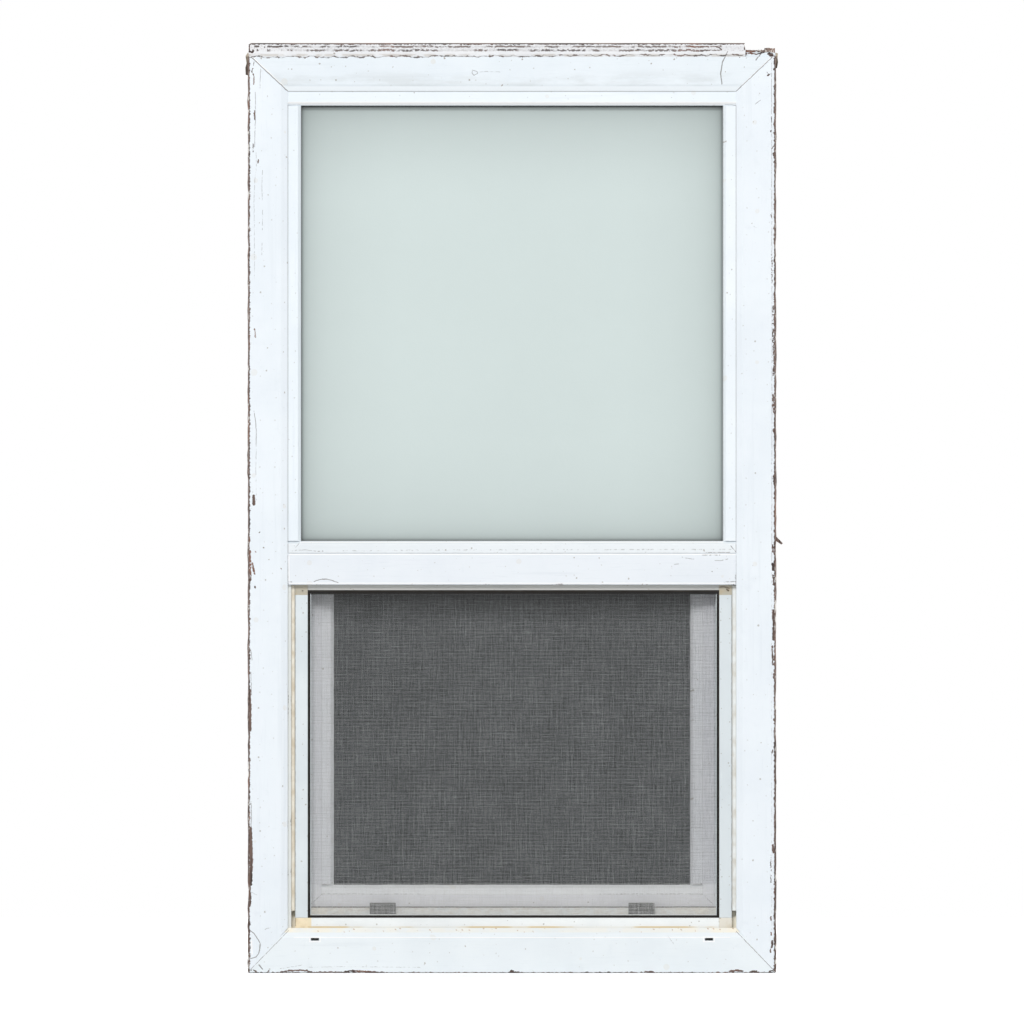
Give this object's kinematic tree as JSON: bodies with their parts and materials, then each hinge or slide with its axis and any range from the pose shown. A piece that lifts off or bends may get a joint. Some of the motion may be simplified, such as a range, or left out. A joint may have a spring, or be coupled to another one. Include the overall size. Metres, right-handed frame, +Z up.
{
  "type": "sash window",
  "caption": "Single-hung sash window with frosted fixed upper light, sliding lower sash behind an insect screen, cam lock and mitred painted frame, worn.",
  "frame": {"origin": "middle of the sill's flat underside, at the middle of the frame's depth", "axes": "+Z up; +Y from outside to inside; +X to the right as seen from outside"},
  "size_m": [0.6096, 0.0826, 1.054],
  "materials": {
    "painted_wood": "aged white oil paint, chipped to brown wood along the arrises",
    "frosted_glass": "satin-etched, pale grey green",
    "clear_glass": "clear float glass",
    "dark_glass": "dark grey tinted float glass",
    "spacer_metal": "dull mill finish",
    "glazing_rubber": "matt black",
    "torn_flashing": "torn and weathered",
    "screen_paint": "white stoved paint, chalked",
    "corner_plastic": "yellowed moulded plastic",
    "screen_mesh": "woven coated glass yarn, dusty",
    "spline_rubber": "matt black",
    "tab_plastic": "matt dark grey",
    "weather_pile": "beige pile, dusty",
    "balance_tube": "white lacquered tube",
    "balance_rod": "oiled steel",
    "screw_steel": "zinc plated, dulled",
    "lock_metal": "white enamel on die casting, worn at the edges"
  },
  "bodies": {
    "frame": {"sill": "painted_wood", "head": "painted_wood", "left_jamb": "painted_wood", "right_jamb": "painted_wood", "head_strip": "painted_wood", "left_flashing": "torn_flashing", "right_flashing": "torn_flashing", "meeting_rail": "painted_wood", "lock_keeper": "lock_metal", "upper_bead_left": "painted_wood", "upper_bead_right": "painted_wood", "upper_bead_bottom": "painted_wood", "upper_bead_top": "painted_wood", "upper_outer_pane": "frosted_glass", "upper_inner_pane": "clear_glass", "upper_spacer": "spacer_metal", "upper_tape": "glazing_rubber", "upper_setting_blocks": "glazing_rubber", "left_parting_stop": "painted_wood", "right_parting_stop": "painted_wood", "head_parting_stop": "painted_wood", "left_inside_stop": "painted_wood", "right_inside_stop": "painted_wood", "head_inside_stop": "painted_wood", "sash_stops": "painted_wood", "screen_left_stile": "screen_paint", "screen_right_stile": "screen_paint", "screen_bottom_rail": "screen_paint", "screen_top_rail": "screen_paint", "screen_corners": "corner_plastic", "screen_mesh": "screen_mesh", "screen_spline": "spline_rubber", "screen_tabs": "tab_plastic", "screen_shim": "painted_wood", "left_screen_pile": "weather_pile", "right_screen_pile": "weather_pile", "left_balance_tube": "balance_tube", "right_balance_tube": "balance_tube", "frame_screws": "screw_steel"},
    "sash": {"sash_left_stile": "painted_wood", "sash_right_stile": "painted_wood", "sash_bottom_rail": "painted_wood", "check_rail": "painted_wood", "sash_bead_left": "painted_wood", "sash_bead_right": "painted_wood", "sash_bead_bottom": "painted_wood", "sash_bead_top": "painted_wood", "sash_outer_pane": "dark_glass", "sash_inner_pane": "clear_glass", "sash_spacer": "spacer_metal", "sash_sweep": "glazing_rubber", "sash_lift": "lock_metal", "left_balance_rod": "balance_rod", "right_balance_rod": "balance_rod", "lock_body": "lock_metal", "lock_screws": "screw_steel"},
    "lock": {"lock_cam": "lock_metal", "lock_lever": "lock_metal"}
  },
  "joints": [
    {"name": "sash_slide", "type": "slide", "parent": "frame", "child": "sash", "axis": [0, 0, 1], "range_m": [0, 0.34]},
    {"name": "lock_turn", "type": "hinge", "parent": "sash", "child": "lock", "pos_m": [0, 0.00965, 0.495], "axis": [0, 0, 1], "range_deg": [0, 180]}
  ]
}
